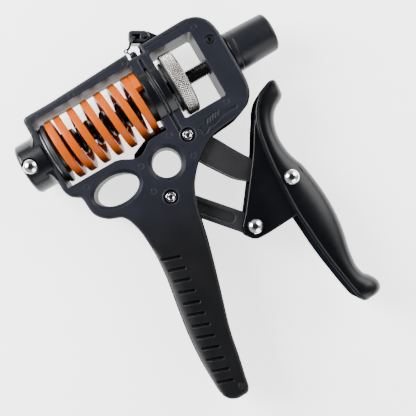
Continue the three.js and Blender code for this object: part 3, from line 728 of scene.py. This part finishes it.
def coil(turn0, turn1, per_turn, radius, place, section, hand):
    """Wire of the given section; place gives its x at a turn, hand is 1 or -1."""
    rings = []
    count = int((turn1 - turn0) * per_turn)
    for i in range(count + 1):
        turn = turn0 + (turn1 - turn0) * i / count
        a = 2 * math.pi * turn * hand
        x = place(turn)
        rings.append([(x + ax, AXIS_Y + (radius + dr) * math.cos(a),
                       (radius + dr) * math.sin(a)) for ax, dr in section])
    return grid_mesh(rings)


def rounded_section(w, h, r, steps=3):
    out = []
    for cx, cy, a0 in ((w - r, h - r, 0), (r - w, h - r, 90), (r - w, r - h, 180),
                       (w - r, r - h, 270)):
        out += arc((cx, cy), r, a0, a0 + 90, steps)
    return out


def outer_place(turn):
    """Place of the orange wire at a turn; the first and last turns lie closed."""
    knots = [(-0.25, 0), (0, 0.1), (1, 5.4), (6, 46.9), (7, 51.25), (7.25, 51.25)]
    for (t0, x0), (t1, x1) in zip(knots, knots[1:]):
        if turn <= t1:
            return SPRING_START + ORANGE_HALF + x0 + (x1 - x0) * (turn - t0) / (t1 - t0)
    return SPRING_START + ORANGE_HALF + knots[-1][1]


spring = piece("orange_coil", coil(-0.2, 7.19, 72, 15.25, outer_place,
                                   rounded_section(ORANGE_HALF, 2.25, 0.7), 1),
               None, ["outer_spring"], "orange", 50, False)
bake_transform(spring)
black_turns = (SPRING_STOP - SPRING_START - 2 * BLACK_WIRE_R) / BLACK_PITCH
inner = piece("black_coil", coil(0, black_turns, 40, 6.65,
                                 lambda t: SPRING_START + BLACK_WIRE_R + BLACK_PITCH * t,
                                 arc((0, 0), BLACK_WIRE_R, 0, 330, 11), -1),
              None, ["inner_spring"], "black_spring", 50, False)
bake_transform(inner)

# ---- rod, seats, nut, cap -------------------------------------------------------------

seat_profile = [(-16.4, RING_BORE), (-16.4, 16.4), (-16.1, 17), (-15.6, 17.2),
                (-14.5, 17.2), (-14.2, 16.9), (-14.2, 12.4), (-11.5, 12), (-11.3, 11.7),
                (-11.5, 8.8), (-14.2, 8.7), (-14.2, RING_BORE)]
piece("left_seat", lathe_x(seat_profile, 96, closed=True), "rod", ["spring_seat"],
      "seat")
piece("left_washer", ring_x(-17.7, -16.7, RING_BORE, 16.2), "rod", ["seat_washer"],
      "dull")
piece("right_cup", lathe_x([(38.4, 8.8), (38.4, 12), (41.75, 12.4), (41.75, 16), (43, 16),
                            (43, 4.7), (41.75, 4.7), (41.75, 8.8)], 96, closed=True),
      "frame", ["spring_cup"], "seat")
piece("steel_plate", ring_x(46.6, 48.1, 4.7, 17.0, 0.3, 128), "frame",
      ["reaction_plate"], "seat")
piece("thrust_ring", ring_x(54.5, 55.7, RING_BORE, 14.5, 0.3), "nut_carrier",
      ["thrust_washer"], "seat")


def threaded_rod():
    """Rod with its head at the left and a thread of trapezoid section at the right."""
    pitch, depth, sides, steps = 1.25, 0.62, 40, 8
    rings = [circle(x, r, sides) for x, r in (
        (-21.1, 0.01), (-21.1, 5.2), (-20.8, 5.8), (-20.2, 6.2), (-18.3, 6.2), (-18, 5.9),
        (-18, 3.95), (49.6, 3.95), (50, 3.5))]
    x = 50.2
    while x < 96.2:
        ring = []
        for k in range(sides):
            t = (x / pitch - k / sides) % 1.0
            wave = min(1.0, max(0.0, abs(2 * t - 1) * 1.5 - 0.2))
            ring.append(on_circle(x, ROD_R - depth * (1 - wave), k, sides))
        rings.append(ring)
        x += pitch / steps
    rings += [circle(x, r, sides) for x, r in ((96.4, 3.4), (97, 2.8), (97, 0.01))]
    return grid_mesh(rings)


piece("pull_rod", threaded_rod(), "rod", ["draw_rod"], "rod", 60, False)


def knurled_nut():
    """Nut with hollowed faces and a rim cut by two crossing families of grooves."""
    teeth, per_tooth, rows, r, depth = 78, 10, 44, 17.75, 0.6
    around = teeth * per_tooth
    rings = [circle(x, rr, around) for x, rr in (
        (56.35, RING_BORE), (56.35, 12.2), (56.0, 12.6), (56.0, 16.2), (56.1, 16.6),
        (56.35, 16.95))]
    x0, x1 = 56.55, 63.25
    lead = teeth / (2 * math.pi * r)
    for j in range(rows + 1):
        x = x0 + (x1 - x0) * j / rows
        ring = []
        taper = max(0.0, 0.55 - 0.5 * min(x - x0, x1 - x) / 0.6)
        for k in range(around):
            a = teeth * k / around
            b = (x - x0) * lead
            u = abs(((a + b) % 1) * 2 - 1)
            v = abs(((a - b) % 1) * 2 - 1)
            rr = r - max(taper, depth * (1 - min(1.0, min(u, v) * 1.9)))
            ring.append(on_circle(x, rr, k, around))
        rings.append(ring)
    rings += [circle(x, rr, around) for x, rr in (
        (63.45, 16.95), (63.7, 16.6), (63.8, 16.2), (63.8, 12.6), (63.4, 12.1),
        (63.1, 11.5), (63.1, RING_BORE))]
    rings.append(rings[0])
    return grid_mesh(rings, closed_ends=False)


# Faces below the knurl crests take the darker groove copy as painted shade.
piece("knurled_nut", knurled_nut(), "nut", ["adjusting_nut"], "nut", 28, False,
      zones=[("groove", lambda c, n: 56.5 < c.x < 63.3
              and math.hypot(c.y - AXIS_Y, c.z) < 17.42)])

cap_profile = ([(83.8, 5.0), (83.8, 8.0), (86, 8.0), (86, 7.5), (91.2, 7.5), (91.2, 10.8)]
               + arc((91.8, 10.8), 0.6, 180, 90, 4) + [(94.2, 11.32), (94.4, 11.08),
                                                       (94.9, 11.05), (95.1, 11.3)]
               + [(113.2, 10.72), (113.35, 10.6), (113.6, 10.6), (113.75, 10.66)]
               + arc((114.5, 8.65), 2.0, 88, 0, 9) + [(116.5, 3), (115.9, 2.4),
                                                      (113.9, 2.4), (112.5, 5)])
piece("muzzle", lathe_x(cap_profile, 128, closed=True), "frame", ["muzzle_cap"],
      "cap", 40)

# ---- levers and link ------------------------------------------------------------------

LEVER_OUTLINE = (
    arc((51.3, AXIS_Y), 2.9, 40, -60, 10) + [(53.4, -6), (53.3, -17), (55.2, -20.6)]
    + arc(PIVOT, 6.5, 26, 0, 4)
    + smooth([(56.6, -27.5), (61.7, -34.5), (66.9, -43.8), (72.6, -52.9), (79, -60.6)])
    + arc(HANDLE_PIVOT, 6, 100, -90, 20)
    + smooth([(76, -70.6), (66.2, -63.1), (60.4, -58.2), (55.6, -51.6), (48.9, -41),
              (44.8, -31.5)])
    + arc(PIVOT, 6.5, 195, 128, 8)
    + [(48.8, -18.2), (48.8, AXIS_Y), (49.4, 5.8), (49.9, 6.9), (51, 7.4), (51.8, 6.9),
       (52.3, 6)]
)


def lever(z0, z1):
    return slab([LEVER_OUTLINE, arc(PIVOT, PIN_BORE, 0, 348, 29),
                 arc(HANDLE_PIVOT, PIN_BORE, 0, 348, 29)], z0, z1, 0.45, 3)


piece("lever_plate_front", lever(LEVER_IN, LEVER_OUT), "lever", ["lever_front"],
      "lever")
piece("lever_plate_rear", lever(-LEVER_OUT, -LEVER_IN), "lever", ["lever_rear"],
      "lever")


def spacer(center):
    return lathe_z([(-4.3, PIN_BORE), (-4.3, 4.1), (-4, 4.4), (4, 4.4), (4.3, 4.1),
                    (4.3, PIN_BORE)], center, 48, closed=True)


piece("spacer_pivot", spacer(PIVOT), "frame", ["pivot_spacer"], "steel")
piece("spacer_handle", spacer(HANDLE_PIVOT), "lever", ["handle_spacer"], "steel")

ANGLE = math.degrees(math.atan2(HANDLE_LINK_PIVOT[1] - LINK_PIVOT[1],
                                HANDLE_LINK_PIVOT[0] - LINK_PIVOT[0]))
LINK_MID = ((LINK_PIVOT[0] + HANDLE_LINK_PIVOT[0]) / 2,
            (LINK_PIVOT[1] + HANDLE_LINK_PIVOT[1]) / 2)
link_body = slab([arc(LINK_PIVOT, 6.2, ANGLE + 60, ANGLE + 300, 28)
                  + arc(HANDLE_LINK_PIVOT, 5.8, ANGLE - 110, ANGLE + 110, 24),
                  arc(LINK_PIVOT, PIN_BORE, 0, 348, 29),
                  arc(HANDLE_LINK_PIVOT, 2.9, 0, 348, 29)], -LINK_HALF, LINK_HALF, 0.6, 3)
link_body = boolean(link_body, [
    ("DIFFERENCE", capsule(LINK_MID, 26, 3, ANGLE, 2.2, 6)),
    ("DIFFERENCE", capsule(LINK_MID, 26, 3, ANGLE, -6, -2.2))])
piece("link_bar", link_body, "link", ["lower_link"], "link")

# ---- finger handle --------------------------------------------------------------------
# Inner and outer edges of the bar, paired from the hooked tip to the foot.
BAR_EDGES = [
    ((98.5, -23.2), (104.9, -25.3)), ((95.6, -24.6), (105, -28.6)),
    ((93, -26), (104.3, -32.3)), ((90.2, -28), (101.4, -34.6)), ((86.7, -32), (99.2, -35.8)),
    ((84.5, -36), (96, -38.6)), ((83, -40), (93.7, -42.4)), ((81.6, -45), (92.3, -46.6)),
    ((80.8, -50), (91.6, -50.6)), ((80, -55), (91.6, -55.4)), ((79.5, -60), (92.4, -61.2)),
    ((79, -65), (93.8, -65.4)), ((78.85, -70), (95.6, -70.2)), ((78.25, -80), (97.3, -80.4)),
    ((78.1, -90), (98.2, -90.4)), ((78.75, -100), (98.1, -100.4)),
    ((79.4, -110), (96.9, -110.2)), ((80.5, -120), (94.7, -120)),
    ((81.25, -125), (93.8, -125.4)), ((82, -130), (93.4, -130.5)),
    ((82.75, -135), (94.6, -135.6)), ((83.5, -139), (96.8, -138.2)),
    ((84.2, -142.6), (98.7, -141)),
]


def bar_section(left, right, half):
    """Closed section from the beaded inner edge to the broadly rounded finger side."""
    lx, ly = left
    rx, ry = right
    width = math.hypot(rx - lx, ry - ly)
    bead = [(0.0, 0.905), (0.12, 0.955), (0.4, 0.988), (0.8, 1.0), (1.2, 1.0), (1.55, 0.985),
            (1.8, 0.955), (2.0, 0.93), (2.3, 0.925), (2.6, 0.935)]
    front = [(0.0, 0.3), (0.0, 0.7)] + [(min(0.4, s / width), z) for s, z in bead]
    s0 = min(0.5, 3.1 / width)
    for i in range(17):
        a = math.pi / 2 * i / 16
        s = s0 + (1 - s0) * math.sin(a)
        front.append((s, 0.94 * math.cos(a) ** 0.8 if i < 16 else 0.0))
    ring = front + [(s, -z) for s, z in reversed(front[:-1])]
    for s, z in ring:
        yield (lx + (rx - lx) * s, ly + (ry - ly) * s, z * half)


def handle_bar():
    left = smooth([pair[0] for pair in BAR_EDGES], 4)
    right = smooth([pair[1] for pair in BAR_EDGES], 4)
    rings = [list(bar_section(a, b, HANDLE_HALF)) for a, b in zip(left, right)]
    tip = [((102.9, -22.6), (103.9, -23.1), 0.62), ((101.2, -22.5), (104.5, -23.9), 0.84),
           ((99.8, -22.8), (104.8, -24.6), 0.95)]
    foot = [((84.6, -144.4), (99.5, -143.2), 0.985), ((85.2, -145.9), (99.5, -145.2), 0.93),
            ((86.4, -147.4), (98.8, -147), 0.82), ((88.2, -148.4), (97.2, -148.2), 0.62),
            ((90.2, -148.8), (95, -148.7), 0.3)]
    start = [list(bar_section(a, b, HANDLE_HALF * f)) for a, b, f in tip]
    end = [list(bar_section(a, b, HANDLE_HALF * f)) for a, b, f in foot]
    return grid_mesh(start + rings + end)


HANDLE_LEVER_ROOM = (
    [(82, -24), (60, -24), (48, -60), (66, -64.6), (75.6, -71.9), (84, -79)]
    + arc(HANDLE_PIVOT, 7, 260, 430, 24) + [(84.9, -58.6), (82, -49), (80.4, -38)]
)
HANDLE_LINK_ROOM = arc(HANDLE_LINK_PIVOT, 6.6, 190, 375, 20) + [
    (60.5, -66), (58, -50), (30, -56)]


def handle():
    web = slab([[(84.8, -35.2), (81.4, -40), (78.4, -45), (75.3, -50), (71.8, -55),
                 (67.8, -60.2), (55.6, -76.3)] + arc(HANDLE_LINK_PIVOT, 6.5, 143, 270, 16)
                + [(61.2, -91.6), (80.5, -90.6), (86, -60)]], -WEB_HALF, WEB_HALF, 0.6, 3)
    bore = [(-20, 0), (-20, PIN_BORE), (20, PIN_BORE), (20, 0)]
    rooms = [("DIFFERENCE", slab([HANDLE_LEVER_ROOM], -LEVER_POCKET, LEVER_POCKET)),
             ("DIFFERENCE", slab([HANDLE_LINK_ROOM], -LINK_POCKET, LINK_POCKET)),
             ("DIFFERENCE", lathe_z(bore, HANDLE_PIVOT)),
             ("DIFFERENCE", lathe_z(bore, HANDLE_LINK_PIVOT))]
    return boolean(handle_bar(), [("UNION", web)] + rooms)


# The handle's side faces take the same painted side shade.
piece("squeeze_handle", handle(), "handle", ["finger_handle"], "handle", 36,
      zones=[("side_shade", lambda c, n: abs(n.z) < 0.4 and n.x < 0.2)])

# ---- pins -----------------------------------------------------------------------------


def flat_pin(center):
    head = [(10.6, 2.45), (10.6, 2.8), (11.2, 2.8), (11.5, 2.55), (11.6, 2.2), (11.55, 1.7),
            (11.2, 1.3), (11.1, 0)]
    profile = [(-z, r) for z, r in reversed(head)] + [(-10.6, PIN_R), (10.6, PIN_R)] + head
    return lathe_z(profile, center, 56)


def domed_pin(center, seat, r):
    rise, lip = 2.05, 3.95
    ball = (lip * lip + rise * rise) / (2 * rise)
    cap = [(seat + 0.3, r), (seat + 0.3, lip - 0.15), (seat + 0.45, lip)]
    for i in range(1, 12):
        rr = lip * (1 - i / 11) if i < 11 else 0.0
        cap.append((seat + 0.45 + math.sqrt(ball * ball - rr * rr) - (ball - rise), rr))
    profile = [(-z, rr) for z, rr in reversed(cap)] + cap
    return lathe_z(profile, center, 64)


piece("pin_upper", flat_pin(PIVOT), "frame", ["pivot_pin"], "chrome")
piece("pin_lower", flat_pin(LINK_PIVOT), "frame", ["link_pin"], "chrome")
piece("pin_handle", domed_pin(HANDLE_PIVOT, HANDLE_HALF, PIN_R), "handle",
      ["handle_pin"], "chrome")
piece("pin_web", domed_pin(HANDLE_LINK_PIVOT, WEB_HALF, PIN_R), "handle",
      ["handle_link_pin"], "chrome")
piece("stud_collar", domed_pin(STUD, 12.9, 1.8), "frame", ["collar_stud"], "chrome")


def socket_screw(center, sign, top, tip):
    profile = [(tip, 0), (tip, 1.0), (tip + 0.2, 1.2), (top - 1.4, 1.2), (top - 1.4, 2.1),
               (top - 1.2, 2.2), (top - 0.25, 2.2), (top, 1.95), (top, 0)]
    body = lathe_z([(sign * z, r) for z, r in profile], center, 48)
    key = lathe_z([(sign * (top - 0.9), 0), (sign * (top - 0.9), 1.15),
                   (sign * (top + 1), 1.15), (sign * (top + 1), 0)], center, 6)
    return boolean(body, [("DIFFERENCE", key)])


piece("screw_cap", socket_screw(MUZZLE_SCREW, 1, 11.8, -8), "frame", ["muzzle_screw"],
      "screw")
for i, spot in enumerate(REAR_SCREWS):
    piece("screw_rear_%d" % (i + 1), socket_screw(spot, -1, 10.6, -7.4), "frame",
          ["shell_screw_%d" % (i + 1)], "screw")

# ---- stroke counter -------------------------------------------------------------------
COUNTER = Matrix.Translation((53.7, 32.8, 0)) @ Matrix.Rotation(math.radians(-30), 4, "Z")


def pod(w, h, r):
    return (arc((w / 2 - h / 2, 0), h / 2, -90, 90, 20)
            + arc((r - w / 2, h / 2 - r), r, 90, 180, 6)
            + arc((r - w / 2, r - h / 2), r, 180, 270, 6))


def at_counter(mesh):
    mesh.transform(COUNTER)
    return mesh


housing = boolean(slab([pod(11.6, 6.9, 2)], -4.6, 3.8, 0.7, 4), [
    ("DIFFERENCE", cube(-3.6, 0.6, -1.1, 1.1, 1.4, 6)),
    ("DIFFERENCE", drill((3.2, 0), 1.2, 0.8, 8))])
piece("counter_case", at_counter(housing), "frame", ["counter_housing"], "counter")
face = boolean(slab([pod(10.2, 5.5, 1.6)], 4.1, 4.6, 0.15, 2), [
    ("DIFFERENCE", cube(-3.8, 0.8, -1.3, 1.3, 3, 6)),
    ("DIFFERENCE", drill((3.2, 0), 1.25, 3, 8))])
piece("counter_plate", at_counter(face), "frame", ["counter_cover"],
      "counter_face")
button = lathe_z([(1.9, 0), (1.9, 0.9), (5.1, 0.9), (5.35, 0.7), (5.4, 0.4), (5.4, 0)],
                 (3.2, 0), 32)
piece("counter_peg", at_counter(button), "reset_button", ["counter_button"],
      "counter")
bracket = merged([
    slab([[(52.4, 27.35), (67, 27.75), (67, 28.15), (52.4, 27.75)]], -6.6, -0.6, 0.1, 2),
    slab([smooth([(51.4, 27.6), (50.6, 33), (50.2, 37.1)], 4) + [(52, 37.1), (60, 35.2),
                                                                (65.8, 27.75)]],
         -6.6, -4.9, 0.3, 3)])
piece("counter_foot", bracket, "frame", ["counter_bracket"], "counter")

TRIGGER = (46.4, 25.9)
turns = [(TRIGGER[0] + 1.5 * math.cos(a), TRIGGER[1] + 1.5 * math.sin(a), z) for a, z in
         [(math.pi * 2 * t / 16, 2.05 - 1.4 * t / 40) for t in range(0, 41)]]
wires = [
    wire_mesh([(44.0, 29.2, 2.0), (44.5, 28.0, 2.0), (45.3, 27.2, 2.05)] + turns[10:],
              0.45, 12, 2),
    wire_mesh([(43.9 + 0.85 * math.cos(a), 30 + 0.85 * math.sin(a), 1.6) for a in
               [2 * math.pi * t / 20 for t in range(21)]], 0.4, 12, 2),
    wire_mesh([(44.6, 30.3, 1.6), (46.6, 31.2, 2.6), (47.7, 32.1, 5.0), (49.3, 33.1, 5.6),
               (50.5, 33.8, 5.6), (51.4, 34.1, 4.6), (51.7, 34, 2.9)], 0.36),
    wire_mesh([(44.8, 29.7, 1.4), (46.8, 30.6, 2.3), (48.1, 31.5, 5.0), (49.7, 32.4, 5.6),
               (50.9, 33.1, 5.6), (51.8, 33.4, 4.6), (52.1, 33.4, 2.9)], 0.36),
]
piece("trigger_spring", merged(wires), "trigger", ["trigger_wire"], "wire", 50, False)
piece("trigger_axle", lathe_z([(-4.6, 0), (-4.6, 0.75), (3, 0.75), (3, 1.2), (3.2, 1.3),
                               (3.5, 1.3), (3.7, 1.05), (3.75, 0)], TRIGGER, 32), "frame",
      ["trigger_pin"], "wire")
cam = slab([smooth([(47.6, 24.3), (48.4, 27), (47.4, 28.5), (45.3, 28.5), (44.5, 26.6),
                    (44.6, 24.2), (45.4, 20.6)], 4) + [(47, 20.4)],
            arc(TRIGGER, 1.05, 0, 345, 23)], -3, -0.6, 0.3, 3)
piece("trigger_cam", cam, "trigger", ["trigger_lever"], "counter")

# ---- floor, light, camera -------------------------------------------------------------
floor_mesh = bpy.data.meshes.new("floor")
floor_mesh.from_pydata([(-3, -3, 0), (3, -3, 0), (3, 3, 0), (-3, 3, 0)], [], [(0, 1, 2, 3)])
floor = link("floor", floor_mesh)
floor.location.z = -0.0006
floor_mat = material("floor_white", (0.95, 0.95, 0.95), 0.9, spot=0.01, bump=0.0)
floor_shade = floor_mat.node_tree.nodes["Principled BSDF"]
floor_shade.inputs["Emission Color"].default_value = (1, 1, 1, 1)
floor_shade.inputs["Emission Strength"].default_value = 2.0
floor_mesh.materials.append(floor_mat)

world = bpy.data.worlds.new("studio")
bpy.context.scene.world = world
world.use_nodes = True
sky = world.node_tree
sky_shade = sky.nodes["Background"]
sky_shade.inputs["Strength"].default_value = 0.6
sky_where = sky.nodes.new("ShaderNodeTexCoord")
sky_split = sky.nodes.new("ShaderNodeSeparateXYZ")
sky_ramp = sky.nodes.new("ShaderNodeValToRGB")
sky_ramp.color_ramp.elements[0].position = 0.45
sky_ramp.color_ramp.elements[0].color = (1, 1, 1, 1)
sky_ramp.color_ramp.elements[1].position = 0.9
sky_ramp.color_ramp.elements[1].color = (0.05, 0.05, 0.055, 1)
sky.links.new(sky_where.outputs["Generated"], sky_split.inputs["Vector"])
sky.links.new(sky_split.outputs["Z"], sky_ramp.inputs["Fac"])
sky.links.new(sky_ramp.outputs["Color"], sky_shade.inputs["Color"])


def area(name, spot, aim, size, power):
    data = bpy.data.lights.new(name, "AREA")
    data.shape = "DISK"
    data.size = size
    data.energy = power
    lamp = bpy.data.objects.new(name, data)
    bpy.context.scene.collection.objects.link(lamp)
    lamp.location = spot
    lamp.rotation_euler = (Vector(aim) - Vector(spot)).to_track_quat("-Z", "Y").to_euler()


area("key", (-0.5, 0.55, 0.5), (0, 0, 0), 0.6, 22)
area("fill", (0.7, 0.15, 0.4), (0, 0, 0), 0.7, 9)
area("low", (0.1, -0.75, 0.4), (0, 0, 0), 0.7, 5)

# The camera looks along Z at the front face. ROLL turns its picture and FACE_VIEW is the
# width seen at that face.
ROLL = 30.0
FACE_VIEW = 0.2163
DISTANCE = 0.355
SENSOR = 36
camera_data = bpy.data.cameras.new("camera")
camera = bpy.data.objects.new("camera", camera_data)
bpy.context.scene.collection.objects.link(camera)
camera_data.sensor_width = SENSOR
camera_data.lens = SENSOR * DISTANCE / FACE_VIEW
aim = Vector((39.6, -64.2))
shift = Vector((0.0882, -0.0115))
roll = math.radians(ROLL)
right = Vector((math.cos(roll), -math.sin(roll)))
up = Vector((math.sin(roll), math.cos(roll)))
eye = aim - (right * shift.x + up * shift.y) * FACE_VIEW / MM
camera_data.shift_x = shift.x
camera_data.shift_y = shift.y
camera.location = row(eye.x, eye.y, SHELL_HALF) + Vector((0, 0, DISTANCE))
camera.rotation_euler = (0, 0, -roll)
camera_data.clip_start = 0.01
bpy.context.scene.camera = camera
